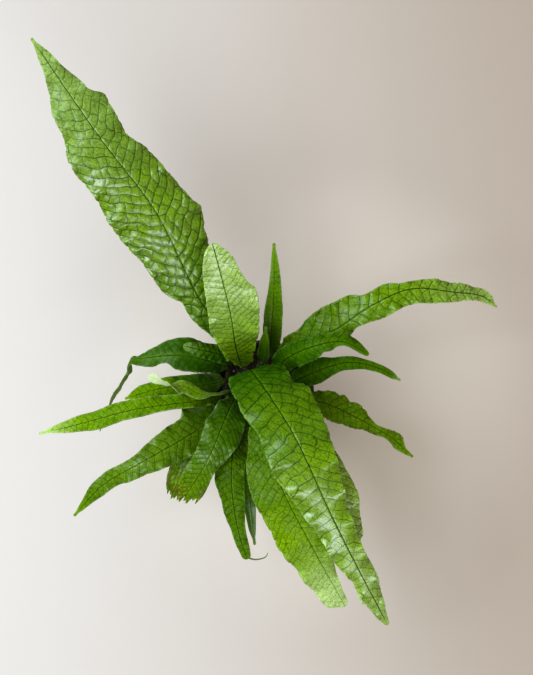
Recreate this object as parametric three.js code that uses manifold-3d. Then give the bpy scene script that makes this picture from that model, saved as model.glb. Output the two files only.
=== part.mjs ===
// A potted crocodile fern: strap-shaped fronds with waved edges and a raised net of veins,
// on creeping rhizomes in the soil of a plastic nursery pot.
// Millimetres, +Z up, origin at the centre of the pot's flat base.
import * as THREE from "three";
import { mergeVertices } from "three/addons/utils/BufferGeometryUtils.js";
import Module from "manifold-3d";

const wasm = await Module();
wasm.setup();

// Pot: a tapered shell with a rim band and a ring of drainage holes.
const POT_HEIGHT = 95;
const RIM_RADIUS = 52.5; // outside of the rim band
const RIM_BAND = 11; // height of the band
const RIM_STEP = 1.7; // how far the band stands out from the wall
const BASE_RADIUS = 38;
const WALL = 1.6;
const FLOOR = 2.4;
const DRAIN_COUNT = 8;
const DRAIN_RADIUS = 3.5;
const DRAIN_CIRCLE = 26;
const DRAIN_SIDES = 12;
const EDGE = 1; // size of the pot's small chamfers
const ROUND_SIDES = 36;

// Soil and rhizomes
const GAP = 0.3; // clearance between pieces that touch
const SOIL_TOP = 85;
const SOIL_BUMP = 1.2;
const SOIL_RINGS = [18, 35];
const RHIZOME_RADIUS = 4;
const RHIZOME_LIFT = 1; // height of its axis above the soil
const RHIZOME_SIDES = 8;
const RHIZOME_STEP = 8;
const RHIZOMES = [
  [[-32, 32], [-34, 25], [-35, 12], [-38, -4], [-36, -19]],
  [[-14, 40], [-19, 29], [-13, 18], [-11, 4], [-12, -9], [-20, -17], [-27, -20]],
  [[-5, 28], [7, 36], [17, 31], [23, 18], [28, 6], [38, -5]],
];

// Fronds: each stands in a plain hole and is one piece of stalk and blade.
const FOOT_DEPTH = 20; // length of stalk below the soil's top
const FOOT_CLEAR = 8; // straight length of stalk above it
const STALK_RADIUS = 1.6;
const HOLE_RADIUS = 2.4;
const HOLE_SIDES = 8;
const BLADE_HALF = 0.45; // half of the blade's thickness
const BLADE_SPREAD = 50; // length over which the round stalk goes over into the flat blade
const TIP_HALF_WIDTH = 1.4;
const TIP_ROUND = 10; // length over which the rows turn from the veins' slant to a round end
const VEIN_SLANT = 0.5; // how far a side vein runs towards the tip for each mm out
const NET_RISE = 1.5; // height of each raised field of the net above its veins
const RIB_DEPTH = 0.9; // the midrib's ridge below the blade at its foot
const WAVE_LENGTH = 31; // of the edge's waves up and down
const LEAF_ONSET = 8; // half width over the stalk's at which the blade has its full form
const TEARS = 9; // how often the torn end turns in and out, in radians over the half width
const HEADING_PULL = 0.3; // keeps a steep stalk's sides level
const STALK_ROWS = 4;

// Each frond has its foot in the soil and the points that its midrib runs through. Its edge has
// rows of the place along the midrib, from 0 at the foot to 1 at the tip, and the widths of the
// blade's left and right half there. It has its own values where it differs from these.
const PLAIN = {
  roll: [0], // degrees about the midrib, from foot to tip
  arch: 0.14, // how far the sides bend down, or up if negative
  wave: 2.6, // height of the edge's waves
  pitch: 15, // distance between side veins along the midrib
  fields: 2, // fields of the net across each half
  torn: 0, // depth of the tears, as a share of the length
};
const FRONDS = [
  { foot: [-17, 37], fields: 3, wave: 3,
    edge: [[0.13, 0, 0], [0.27, 12, 13], [0.34, 16, 20], [0.385, 15, 26], [0.42, 27, 29],
      [0.48, 30, 30], [0.51, 33, 31], [0.548, 37, 38], [0.58, 39, 32], [0.63, 39, 29],
      [0.66, 36, 28], [0.7, 34, 27], [0.745, 35, 20], [0.775, 33, 22], [0.81, 25, 23],
      [0.84, 23, 25], [0.86, 22, 16], [0.895, 14, 13], [0.93, 8, 8], [0.96, 5, 6], [1, 0, 0]],
    route: [[-22, 42, 140], [-54, 79, 195], [-91, 153, 245], [-134, 209, 275], [-187, 285, 300]] },
  { foot: [-21, 26], fields: 3, arch: -0.08, wave: 1.6,
    edge: [[0.14, 0, 0], [0.24, 5, 11], [0.32, 8, 13], [0.4, 12, 15], [0.47, 14, 18],
      [0.53, 16, 21], [0.62, 21, 24], [0.75, 19, 27], [0.79, 18, 26], [0.83, 17, 20],
      [0.87, 16, 17], [0.93, 13, 14], [0.96, 10, 11], [1, 3, 3]],
    route: [[-21, 29, 135], [-24, 42, 180], [-28, 71, 222], [-41, 123, 262]] },
  { foot: [8, 37], arch: -0.5, wave: 1,
    edge: [[0.18, 0, 0], [0.3, 7, 8], [0.5, 8, 10], [0.67, 8, 9], [0.78, 5, 7], [0.88, 3, 5],
      [0.96, 2, 2], [1, 0, 0]],
    route: [[8, 39, 120], [9, 56, 160], [11, 85, 210], [11, 126, 245]] },
  { foot: [0, 30], fields: 1, wave: 0.6,
    edge: [[0.2, 0, 0], [0.4, 5, 5], [0.62, 7, 6], [0.85, 5, 4], [1, 0, 0]],
    route: [[1, 32, 135], [3, 43, 172], [4, 58, 195]] },
  { foot: [16, 35], pitch: 11,
    edge: [[0.15, 0, 0], [0.25, 9, 10], [0.3, 9, 13], [0.34, 18, 14], [0.37, 21, 16],
      [0.4, 25, 17], [0.455, 24, 12], [0.48, 22, 9], [0.51, 21, 11], [0.53, 18, 13],
      [0.55, 12, 14], [0.58, 12, 16], [0.62, 13, 15], [0.66, 7, 14], [0.7, 8, 14], [0.75, 10, 13],
      [0.8, 10, 11], [0.86, 9, 7], [0.91, 8, 6], [0.96, 6, 4], [1, 0, 0]],
    route: [[18, 38, 125], [32, 47, 153], [67, 56, 176], [99, 77, 188], [136, 93, 188],
      [181, 92, 172], [210, 90, 156], [226, 81, 145]] },
  { foot: [16, 22],
    edge: [[0.15, 0, 0], [0.25, 8, 8], [0.35, 10, 10], [0.46, 12, 11], [0.6, 11, 13],
      [0.69, 10, 13], [0.73, 9, 11], [0.76, 9, 7], [0.81, 9, 5], [0.86, 8, 3], [0.91, 8, 3],
      [0.95, 5, 3], [1, 2, 2]],
    route: [[17, 24, 135], [25, 31, 174], [44, 39, 197], [72, 44, 200], [98, 33, 186]] },
  { foot: [28, 6], pitch: 12,
    edge: [[0.2, 0, 0], [0.32, 9, 10], [0.42, 11, 11], [0.5, 12, 12], [0.55, 11, 10], [0.6, 7, 8],
      [0.65, 6, 7], [0.69, 6, 7], [0.75, 5, 5], [0.83, 4, 4], [0.9, 4, 4], [0.95, 3, 3], [1, 0, 0]],
    route: [[31, 9, 120], [45, 16, 148], [80, 27, 158], [112, 22, 146], [135, 11, 128]] },
  { foot: [35, -2], wave: 3.4, pitch: 10,
    edge: [[0.22, 0, 0], [0.36, 10, 11], [0.42, 11, 13], [0.46, 14, 14], [0.49, 13, 14],
      [0.52, 15, 14], [0.55, 11, 13], [0.59, 13, 12], [0.64, 11, 10], [0.66, 8, 8], [0.69, 5, 7],
      [0.72, 3, 7], [0.75, 4, 6], [0.78, 5, 4], [0.8, 6, 4], [0.84, 8, 5], [0.87, 8, 6],
      [0.895, 4, 6], [0.92, 2, 5], [0.96, 1, 3], [1, 0, 0]],
    route: [[38, -5, 118], [65, -13, 143], [98, -29, 144], [127, -46, 134], [148, -64, 118]] },
  { foot: [-12, 19], fields: 3, wave: 3,
    roll: [-25, -25, -20, 0, 0, 0],
    edge: [[0.1, 0, 0], [0.2, 12, 12], [0.28, 26, 22], [0.33, 30, 24], [0.4, 27, 26],
      [0.425, 35, 28], [0.485, 34, 26], [0.51, 30, 28], [0.55, 28, 30], [0.585, 25, 31],
      [0.61, 24, 27], [0.645, 21, 24], [0.68, 18, 22], [0.705, 16, 18], [0.77, 13, 17],
      [0.805, 12, 16], [0.86, 13, 10], [0.9, 11, 10], [0.93, 8, 9], [0.96, 5, 7], [1, 2, 2]],
    route: [[-11, 19, 150], [-8, 16, 205], [3, 1, 236], [28, -39, 252], [58, -103, 240],
      [88, -162, 210], [114, -211, 180]] },
  { foot: [2, 6],
    edge: [[0.15, 0, 0], [0.3, 15, 14], [0.45, 20, 18], [0.6, 21, 19], [0.69, 21, 19],
      [0.75, 15, 16], [0.79, 12, 14], [0.82, 7, 12], [0.88, 6, 9], [0.94, 5, 6], [1, 2, 2]],
    route: [[3, 4, 145], [9, -7, 188], [33, -41, 216], [65, -96, 217], [84, -147, 198],
      [93, -194, 175]] },
  { foot: [-10, -8], fields: 3,
    edge: [[0.23, 0, 0], [0.3, 7, 7], [0.37, 15, 12], [0.51, 22, 26], [0.56, 22, 28],
      [0.63, 22, 27], [0.68, 21, 26], [0.73, 19, 28], [0.79, 15, 25], [0.82, 13, 22],
      [0.85, 11, 23], [0.89, 8, 20], [0.93, 6, 18], [0.955, 5, 17], [0.98, 5, 14], [1, 3, 6]],
    route: [[-9, -12, 138], [2, -38, 187], [18, -86, 209], [44, -137, 196], [77, -198, 164]] },
  { foot: [-20, -17],
    edge: [[0.2, 0, 0], [0.35, 11, 11], [0.5, 14, 15], [0.61, 12, 16], [0.67, 12, 13],
      [0.72, 11, 11], [0.82, 8, 8], [0.87, 7, 6], [0.95, 6, 5], [1, 4, 4]],
    route: [[-21, -23, 128], [-25, -42, 155], [-28, -82, 168], [-22, -132, 150],
      [-14, -160, 135]] },
  { foot: [-7, -30], fields: 1, wave: 0.8,
    edge: [[0.3, 0, 0], [0.5, 5, 6], [0.78, 5, 6], [0.9, 3, 4], [1, 0, 0]],
    route: [[-8, -36, 115], [-13, -70, 138], [-11, -109, 136], [-7, -149, 118]] },
  { foot: [-25, -4], torn: 0.03,
    edge: [[0.15, 0, 0], [0.25, 8, 5], [0.35, 11, 10], [0.45, 16, 13], [0.51, 19, 14],
      [0.58, 21, 16], [0.66, 20, 15], [0.71, 16, 14], [0.79, 11, 14], [0.87, 13, 14],
      [0.93, 14, 13], [1, 13, 12]],
    route: [[-27, -9, 138], [-34, -26, 170], [-48, -61, 184], [-74, -102, 164]] },
  { foot: [-31, -25], torn: 0.03,
    edge: [[0.25, 0, 0], [0.5, 13, 14], [0.7, 14, 18], [0.81, 13, 18], [0.87, 13, 16],
      [0.94, 12, 11], [1, 11, 9]],
    route: [[-35, -31, 115], [-53, -50, 135], [-73, -80, 139], [-86, -104, 132]] },
  { foot: [-36, -14],
    edge: [[0.15, 0, 0], [0.25, 13, 18], [0.33, 17, 25], [0.375, 18, 27], [0.4, 18, 18],
      [0.46, 18, 18], [0.49, 17, 17], [0.535, 16, 15], [0.575, 15, 13], [0.63, 12, 9],
      [0.69, 11, 8], [0.76, 8, 9], [0.84, 8, 8], [0.9, 5, 5], [0.95, 3, 3], [1, 0, 0]],
    route: [[-41, -20, 120], [-63, -38, 149], [-111, -66, 170], [-149, -88, 156],
      [-180, -119, 135]] },
  { foot: [-42, -3], pitch: 12,
    edge: [[0.12, 0, 0], [0.2, 6, 4], [0.3, 7, 6], [0.38, 6, 8], [0.47, 5, 9], [0.52, 6, 10],
      [0.59, 8, 10], [0.67, 8, 10], [0.71, 9, 9], [0.75, 10, 8], [0.79, 9, 8], [0.83, 7, 8],
      [0.89, 5, 6], [0.95, 2, 3], [1, 0, 0]],
    route: [[-46, -5, 125], [-67, -10, 159], [-117, -17, 174], [-175, -32, 164], [-211, -40, 150]] },
  { foot: [-38, 12],
    edge: [[0.2, 0, 0], [0.3, 5, 9], [0.38, 10, 12], [0.5, 13, 12], [0.62, 12, 11], [0.72, 10, 10],
      [0.81, 9, 8], [0.88, 7, 8], [0.95, 3, 4], [1, 0, 0]],
    route: [[-41, 10, 107], [-59, 6, 125], [-97, 3, 138], [-133, -7, 131]] },
  { foot: [-30, 1], fields: 1, wave: 1, pitch: 9,
    roll: [0, 0, 0, 0, 0, 0, 0, 10, 30, 115, 180],
    edge: [[0.58, 0, 0], [0.7, 5, 5], [0.79, 7, 7], [0.84, 10, 6], [0.88, 8, 5], [0.91, 4, 4],
      [0.95, 5, 5], [0.98, 4, 4], [1, 2, 2]],
    route: [[-33, 0, 135], [-43, -3, 166], [-57, -3, 184], [-70, 4, 192], [-85, 6, 196],
      [-103, 14, 192]] },
  { foot: [-36, 24], wave: 1.4, pitch: 11,
    roll: [0, 0, 0, 0, 0, 60, 90, 90, 90],
    edge: [[0.15, 0, 0], [0.22, 9, 8], [0.28, 11, 12], [0.34, 14, 16], [0.38, 15, 18],
      [0.41, 15, 17], [0.44, 13, 16], [0.46, 7, 15], [0.485, 7, 12], [0.52, 9, 8], [0.55, 8, 7],
      [0.62, 8, 8], [0.75, 6, 6], [0.88, 4, 4], [1, 0, 0]],
    route: [[-38, 25, 118], [-50, 29, 143], [-75, 34, 156], [-106, 32, 152], [-127, 29, 138],
      [-133, 17, 120], [-150, -6, 98], [-167, -40, 74]] },
  { foot: [-27, 34], fields: 1, wave: 1.2,
    edge: [[0.2, 0, 0], [0.35, 6, 6], [0.5, 8, 8], [0.7, 9, 9], [0.9, 7, 7], [1, 3, 3]],
    route: [[-28, 34, 125], [-40, 35, 160], [-56, 38, 174], [-73, 42, 173]] },
];

// Repeatable numbers from 0 to 1.
function hash(a, b = 0) {
  const x = Math.sin(a * 12.9898 + b * 78.233) * 43758.5453;
  return x - Math.floor(x);
}

// 0 below 0, 1 above 1, and smooth between.
function smooth(x) {
  const c = Math.min(1, Math.max(0, x));
  return c * c * (3 - 2 * c);
}

// The value at s of a list spread evenly over 0 to 1.
function along(list, s) {
  const at = Math.min(0.9999, Math.max(0, s)) * (list.length - 1);
  const i = Math.floor(at);
  return list.length === 1 ? list[0] : list[i] + (list[i + 1] - list[i]) * smooth(at - i);
}

function toSolid(geometry) {
  const plain = geometry.index ? geometry.toNonIndexed() : geometry.clone();
  plain.deleteAttribute("normal");
  plain.deleteAttribute("uv");
  const merged = mergeVertices(plain, 1e-3);
  return new wasm.Manifold(new wasm.Mesh({
    numProp: 3,
    vertProperties: merged.attributes.position.array,
    triVerts: new Uint32Array(merged.index.array),
  }));
}

function toGeometry(solid) {
  const mesh = solid.getMesh();
  return new THREE.BufferGeometry()
    .setAttribute("position", new THREE.BufferAttribute(mesh.vertProperties, 3))
    .setIndex(new THREE.BufferAttribute(mesh.triVerts, 1));
}

// A closed body from rings of points: the rings are joined in order and both ends are capped.
function ringBody(rings) {
  const count = rings[0].length;
  const points = rings.flat();
  const faces = [];
  for (let j = 0; j + 1 < rings.length; j++)
    for (let i = 0; i < count; i++) {
      const a = j * count + i;
      const b = j * count + ((i + 1) % count);
      faces.push(a, b, b + count, a, b + count, a + count);
    }
  const last = (rings.length - 1) * count;
  for (let i = 1; i + 1 < count; i++)
    faces.push(0, i + 1, i, last, last + i, last + i + 1);
  return new THREE.BufferGeometry().setFromPoints(points).setIndex(faces);
}

function potRadius(z) {
  return BASE_RADIUS + ((RIM_RADIUS - RIM_STEP - BASE_RADIUS) * z) / POT_HEIGHT;
}

function potGeometry() {
  const band = POT_HEIGHT - RIM_BAND;
  const profile = [
    [0, 0], [BASE_RADIUS - EDGE, 0], [potRadius(EDGE), EDGE], [potRadius(band), band],
    [RIM_RADIUS - EDGE / 2, band], [RIM_RADIUS, band + EDGE], [RIM_RADIUS, POT_HEIGHT - EDGE],
    [RIM_RADIUS - EDGE, POT_HEIGHT], [potRadius(POT_HEIGHT) - WALL, POT_HEIGHT],
    [potRadius(FLOOR) - WALL, FLOOR], [0, FLOOR],
  ].map(([r, z]) => new THREE.Vector2(r, z));
  const shell = new THREE.LatheGeometry(profile, ROUND_SIDES).rotateX(Math.PI / 2);
  let pot = toSolid(shell);
  for (let i = 0; i < DRAIN_COUNT; i++) {
    const angle = ((i + 0.5) / DRAIN_COUNT) * 2 * Math.PI;
    const drain = new THREE.CylinderGeometry(DRAIN_RADIUS, DRAIN_RADIUS, 4 * FLOOR, DRAIN_SIDES)
      .rotateX(Math.PI / 2)
      .translate(DRAIN_CIRCLE * Math.cos(angle), DRAIN_CIRCLE * Math.sin(angle), 0);
    pot = pot.subtract(toSolid(drain));
  }
  return toGeometry(pot);
}

// The soil's top is uneven, and its side follows the pot's wall.
function soilSolid() {
  const bump = (r, i) => SOIL_TOP + SOIL_BUMP * (2 * hash(r, i) - 1);
  const side = (z) => potRadius(z) - WALL - GAP;
  const rings = [
    ...SOIL_RINGS.map((r) => [r, (i) => bump(r, i)]),
    [side(SOIL_TOP) - EDGE, () => SOIL_TOP - EDGE],
    [side(SOIL_TOP - 2 * EDGE), () => SOIL_TOP - 2 * EDGE],
    [side(FLOOR + GAP), () => FLOOR + GAP],
  ];
  const circle = rings.map(([r, height]) =>
    Array.from({ length: ROUND_SIDES }, (_, i) => {
      const angle = (-i / ROUND_SIDES) * 2 * Math.PI;
      return new THREE.Vector3(r * Math.cos(angle), r * Math.sin(angle), height(i));
    }));
  return toSolid(ringBody(circle));
}

// A creeping rhizome: a tube that swells and narrows, with blunt ends. extra widens it, for the
// groove that it lies in.
function rhizomeSolid(route, extra) {
  const curve = new THREE.CatmullRomCurve3(
    route.map(([x, y]) => new THREE.Vector3(x, y, SOIL_TOP + RHIZOME_LIFT)));
  const steps = Math.round(curve.getLength() / RHIZOME_STEP);
  const rings = [];
  for (let j = 0; j <= steps; j++) {
    const centre = curve.getPointAt(j / steps);
    const ahead = curve.getTangentAt(j / steps);
    const aside = new THREE.Vector3(ahead.y, -ahead.x, 0).normalize();
    const above = new THREE.Vector3().crossVectors(aside, ahead);
    const end = Math.min(j, steps - j);
    const radius = RHIZOME_RADIUS * (end ? 0.9 + 0.2 * hash(j, route.length) : 0.5) + extra;
    if (!end) centre.addScaledVector(ahead, j ? extra : -extra);
    rings.push(Array.from({ length: RHIZOME_SIDES }, (_, i) => {
      const angle = ((i + 0.5) / RHIZOME_SIDES) * 2 * Math.PI;
      return centre.clone()
        .addScaledVector(above, radius * Math.sin(angle))
        .addScaledVector(aside, -radius * Math.cos(angle));
    }));
  }
  return toSolid(ringBody(rings));
}

// A plain upright hole, a little wider and deeper than the stalk's foot.
function holeSolid([x, y]) {
  const bottom = SOIL_TOP - FOOT_DEPTH - GAP;
  const height = SOIL_TOP + FOOT_CLEAR - bottom;
  return toSolid(new THREE.CylinderGeometry(HOLE_RADIUS, HOLE_RADIUS, height, HOLE_SIDES)
    .rotateX(Math.PI / 2)
    .translate(x, y, bottom + height / 2));
}

function withHoles(solid, fronds) {
  return fronds.reduce((body, { foot }) => body.subtract(holeSolid(foot)), solid);
}

// The width of the blade's half at s, from 0 at the foot to 1 at the tip. side is -1 or 1.
function halfWidth({ edge }, s, side) {
  const column = side < 0 ? 1 : 2;
  const low = edge.findLast((row) => row[0] <= s) ?? edge[0];
  const high = edge.find((row) => row[0] > s) ?? low;
  const share = high === low ? 0 : (s - low[0]) / (high[0] - low[0]);
  const least = s < 0.5 ? STALK_RADIUS : TIP_HALF_WIDTH;
  return Math.max(least, low[column] + (high[column] - low[column]) * share);
}

// 0 on the stalk and 1 where the blade has its full form.
function bladeShare({ edge, length }, s) {
  return smooth(((s - edge[0][0]) * length) / BLADE_SPREAD);
}

// The midrib's point at s, and the directions to the blade's side and above its face.
function midribFrame(frond, s) {
  const at = Math.min(1, Math.max(0, s));
  const centre = frond.curve.getPointAt(at);
  const ahead = frond.curve.getTangentAt(at);
  const level = ahead.clone().addScaledVector(frond.heading, HEADING_PULL);
  const aside = new THREE.Vector3(level.y, -level.x, 0);
  aside.addScaledVector(ahead, -aside.dot(ahead)).normalize();
  aside.applyAxisAngle(ahead, THREE.MathUtils.degToRad(along(frond.roll, at)));
  return { centre, aside, above: new THREE.Vector3().crossVectors(aside, ahead) };
}

// How far the sheet bends and waves away from a flat one, at half a width of half.
function sheetLift(frond, s, t, half) {
  const side = t < 0 ? -1 : 1;
  const phase = (s * frond.length * 2 * Math.PI) / WAVE_LENGTH + frond.seed + 1.7 * side;
  const ripple = Math.sin(phase) + 0.35 * Math.sin(2.3 * phase);
  return frond.wave * Math.abs(t) ** 2.5 * ripple - frond.arch * half * t * t;
}

// Place along the midrib of a point at row position s and t across. Rows slant to the tip as the
// side veins do, turn to a half circle at the tip itself, and are torn into teeth there.
function rowPlace(frond, s, t, side) {
  const { length, seed, torn } = frond;
  const near = smooth(((1 - s) * length) / (TIP_ROUND + 3 * halfWidth(frond, 1, side)));
  const round = 1 - Math.sqrt(1 - t * t);
  const ahead = VEIN_SLANT * Math.abs(t) * near - round * (1 - near);
  const teeth = 0.5 + 0.5 * Math.sin(TEARS * t + seed) + 0.4 * Math.sin(2.6 * TEARS * t);
  const tear = torn * smooth((s - 0.6) / 0.4) * teeth;
  return Math.min(1, s + (ahead * halfWidth(frond, s, side)) / length) - tear;
}

// The frond's point at row position s and t across, from -1 to 1. face is 1 on the top and -1
// below, and rise lifts both faces alike.
function frondPoint(frond, s, t, face, rise) {
  const side = t < 0 ? -1 : 1;
  const at = rowPlace(frond, s, t, side);
  const half = halfWidth(frond, at, side);
  const leaf = smooth((half - STALK_RADIUS) / LEAF_ONSET);
  const swell = (1 - bladeShare(frond, s)) * (STALK_RADIUS - BLADE_HALF);
  const thick = BLADE_HALF + swell * Math.sqrt(Math.max(0, 1 - t * t));
  const rib = face < 0 && t === 0 ? RIB_DEPTH * (1 - s) * leaf : 0;
  const lift = (sheetLift(frond, at, t, half) + rise) * leaf + face * (thick + rib);
  const { centre, aside, above } = midribFrame(frond, at);
  return centre.addScaledVector(aside, t * half).addScaledVector(above, lift);
}

// Positions along the frond of its rows of points: a few on the stalk, then one at each vein.
function rowPositions(frond) {
  const start = frond.edge[0][0];
  const veins = Math.round(((1 - start) * frond.length) / frond.pitch);
  return [
    ...Array.from({ length: STALK_ROWS }, (_, j) => (start * j) / STALK_ROWS),
    ...Array.from({ length: veins + 1 }, (_, j) => start + ((1 - start) * j) / veins),
  ];
}

// The row and column of each point round the edge of a grid, anticlockwise from above.
function edgeLoop(rows, columns) {
  const loop = [];
  for (let c = 0; c < columns; c++) loop.push([0, c]);
  for (let j = 0; j < rows; j++) loop.push([j, columns]);
  for (let c = columns; c > 0; c--) loop.push([rows, c]);
  for (let j = rows; j > 0; j--) loop.push([j, 0]);
  return loop;
}

// One closed frond: the same net on both faces, each of its fields raised to a point, and a
// narrow wall round the edge.
function frondGeometry(frond) {
  const columns = 2 * frond.fields;
  const rows = rowPositions(frond);
  const across = (c) => (2 * c) / columns - 1;
  const points = [];
  const faces = [];
  const addPoint = (...place) => points.push(frondPoint(frond, ...place)) - 1;
  const addTriangle = (face, a, b, c) => faces.push(a, face > 0 ? b : c, face > 0 ? c : b);
  const [top, below] = [1, -1].map((face) => {
    const grid = rows.map((s) =>
      Array.from({ length: columns + 1 }, (_, c) => addPoint(s, across(c), face, 0)));
    for (let j = 0; j + 1 < rows.length; j++)
      for (let c = 0; c < columns; c++) {
        const loop = [grid[j][c], grid[j][c + 1], grid[j + 1][c + 1], grid[j + 1][c]];
        if (j < STALK_ROWS) {
          addTriangle(face, loop[0], loop[1], loop[2]);
          addTriangle(face, loop[0], loop[2], loop[3]);
        } else {
          const middle = addPoint((rows[j] + rows[j + 1]) / 2, across(c + 0.5), face, NET_RISE);
          loop.forEach((a, i) => addTriangle(face, a, loop[(i + 1) % 4], middle));
        }
      }
    return grid;
  });
  const edge = edgeLoop(rows.length - 1, columns);
  edge.forEach(([j, c], i) => {
    const [nextJ, nextC] = edge[(i + 1) % edge.length];
    faces.push(top[j][c], below[j][c], below[nextJ][nextC]);
    faces.push(top[j][c], below[nextJ][nextC], top[nextJ][nextC]);
  });
  return new THREE.BufferGeometry().setFromPoints(points).setIndex(faces);
}

// Works out a frond's curve, length and heading from its foot and route.
function growFrond(shape, i) {
  const [x, y] = shape.foot;
  const upright = [-FOOT_DEPTH, -FOOT_DEPTH / 2, FOOT_CLEAR].map((z) => [x, y, SOIL_TOP + z]);
  const points = [...upright, ...shape.route].map((p) => new THREE.Vector3(...p));
  const curve = new THREE.CatmullRomCurve3(points, false, "centripetal");
  curve.arcLengthDivisions = 400;
  const middle = points[Math.ceil(points.length / 2)];
  const heading = new THREE.Vector3(middle.x - x, middle.y - y, 0).normalize();
  return { ...PLAIN, ...shape, curve, heading, length: curve.getLength(), seed: 1 + 2.4 * i };
}

function material(colour, roughness) {
  return new THREE.MeshStandardMaterial({ color: colour, roughness, metalness: 0 });
}

const LEAF = material(0x5f8f2a, 0.38);
const PLASTIC = material(0x1b1a19, 0.55);
const SOIL = material(0x2b1d12, 0.95);
const RHIZOME = material(0x4a3a22, 0.85);

function named(name, geometry, finish) {
  const mesh = new THREE.Mesh(geometry, finish);
  mesh.name = name;
  return mesh;
}

const grown = FRONDS.map(growFrond);
const rhizomes = RHIZOMES.map((route) => withHoles(rhizomeSolid(route, 0), grown));
const grooved = RHIZOMES.reduce((soil, route) => soil.subtract(rhizomeSolid(route, GAP)), soilSolid());

const root = new THREE.Group();
root.add(named("nursery_pot", potGeometry(), PLASTIC));
root.add(named("soil", toGeometry(withHoles(grooved, grown)), SOIL));
rhizomes.forEach((body, i) => root.add(named("rhizome_" + (i + 1), toGeometry(body), RHIZOME)));
grown.forEach((frond, i) =>
  root.add(named("frond_" + String(i + 1).padStart(2, "0"), frondGeometry(frond), LEAF)));

export default root;
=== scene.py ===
"""A potted crocodile fern: waved, netted fronds on scaly rhizomes in a plastic nursery pot.

Every surface is worked out on a grid in millimetres, in the frame of the solids: +Z up, origin
at the centre of the pot's flat base. Meshes are put in the scene in metres.
"""

from math import pi, radians

import bpy
import numpy as np
from numpy import cos, sin, sqrt
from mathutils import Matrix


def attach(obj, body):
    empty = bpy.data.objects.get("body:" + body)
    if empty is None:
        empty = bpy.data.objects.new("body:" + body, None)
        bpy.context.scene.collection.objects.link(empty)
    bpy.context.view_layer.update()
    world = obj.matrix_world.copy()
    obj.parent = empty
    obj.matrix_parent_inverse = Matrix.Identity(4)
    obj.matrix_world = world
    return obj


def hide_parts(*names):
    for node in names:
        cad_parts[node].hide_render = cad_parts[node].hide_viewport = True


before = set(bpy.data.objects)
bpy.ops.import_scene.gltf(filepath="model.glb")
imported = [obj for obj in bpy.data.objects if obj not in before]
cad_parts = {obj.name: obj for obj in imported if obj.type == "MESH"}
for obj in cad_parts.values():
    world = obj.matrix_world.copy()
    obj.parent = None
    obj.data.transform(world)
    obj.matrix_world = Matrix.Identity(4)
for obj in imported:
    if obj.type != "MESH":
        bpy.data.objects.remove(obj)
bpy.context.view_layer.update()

MM = 0.001
CURVE_POINTS = 160  # on each stretch of a curve
AHEAD_STEP = 0.004  # share of a curve's length over which its direction is taken

# Pot and soil, in mm
POT_HEIGHT = 95
RIM_RADIUS = 52.5
RIM_BAND = 11
RIM_STEP = 1.7
BASE_RADIUS = 38
WALL = 1.6
FLOOR = 2.4
FOOT_ROUNDING = 1.5
LIP_ROUNDING = 0.8
INNER_ROUNDING = 0.6
DRAIN_COUNT = 8
DRAIN_RADIUS = 3.5
DRAIN_CIRCLE = 26
SHARP_EDGE = 40  # degrees from which an edge stays crisp
SOIL_TOP = 85
SOIL_GAP = 0.3
SOIL_DROP = 1.5  # how far the soil falls at its rim
RHIZOME_RADIUS = 4
RHIZOME_HEIGHT = SOIL_TOP + 1
THREAD_RADIUS = 0.9
THREAD = [(-13, -159, 134), (-7, -160, 137), (0, -159, 138), (4, -157, 138), (6, -153, 139)]
RHIZOMES = [
    [(-32, 32), (-34, 25), (-35, 12), (-38, -4), (-36, -19)],
    [(-14, 40), (-19, 29), (-13, 18), (-11, 4), (-12, -9), (-20, -17), (-27, -20)],
    [(-5, 28), (7, 36), (17, 31), (23, 18), (28, 6), (38, -5)],
]
FLOOR_HALF = 6000

# Finishes of the small things: the noise's scale, detail and roughness, the limits between which
# it goes from the dark colour to the light one, the roughness and the depth of the relief in m
GRAINED = dict(
    bark_chip=dict(grain=(260, 5, 0.65), limits=(0.3, 0.7), dark=(0.009, 0.007, 0.004),
                   light=(0.035, 0.025, 0.013), rough=0.85, depth=0.0008, stretch=(1, 3, 1)),
    perlite_white=dict(grain=(1500, 3), limits=(0.3, 0.6), dark=(0.2, 0.18, 0.15),
                       light=(0.5, 0.48, 0.44), rough=0.9, depth=0.0004),
    dry_thread=dict(grain=(220, 2), dark=(0.03, 0.09, 0.006), light=(0.1, 0.15, 0.02), rough=0.8),
    moss=dict(grain=(300, 3), limits=(0.35, 0.65), dark=(0.02, 0.06, 0.004),
              light=(0.09, 0.2, 0.012), rough=0.95),
    rhizome_skin=dict(grain=(120, 4, 0.6), limits=(0.35, 0.65), dark=(0.016, 0.03, 0.008),
                      light=(0.05, 0.06, 0.02), rough=0.75, relief=(600, 4), depth=0.0006),
    rhizome_scale=dict(grain=(500, 4), limits=(0.3, 0.7), dark=(0.01, 0.008, 0.004),
                       light=(0.04, 0.026, 0.012), rough=0.7, depth=0.0003, strength=0.6),
)

# Fronds, in mm
FOOT_DEPTH = 20
FOOT_CLEAR = 8
STALK_RADIUS = 1.6
BLADE_HALF = 0.3
BLADE_SPREAD = 50  # length over which the round stalk goes over into the flat blade
ROUNDING = 5  # length over which the corners of an edge are rounded off
TIP_HALF_WIDTH = 1.4
TIP_ROUND = 10
ROW_SLANT = 0.5
WAVE_LENGTH = 31
LEAF_ONSET = 8
TEARS = 9
HEADING_PULL = 0.3
GRID_STEP = 0.9
STALK_STEP = 3
GROOVE_SHARE = 0.03  # the midrib's groove as a share of the half width
GROOVE_DEPTH = 0.7
RIB_HEIGHT = 1.2
SKEW = 0.65  # how far a cross vein moves out from one side vein to the next, in its own steps
TAPER = 0.35  # how much closer the side veins stand at the tip
HIGHEST_NET = 1.3
GOLDEN = 0.618034  # spreads the cross veins of neighbouring rows apart
PLASTIC_NUMBER = 0.754878  # and their spacing
MIRROR_SHIFT = 0.37  # keeps the cross veins left and right of the midrib from meeting

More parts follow.
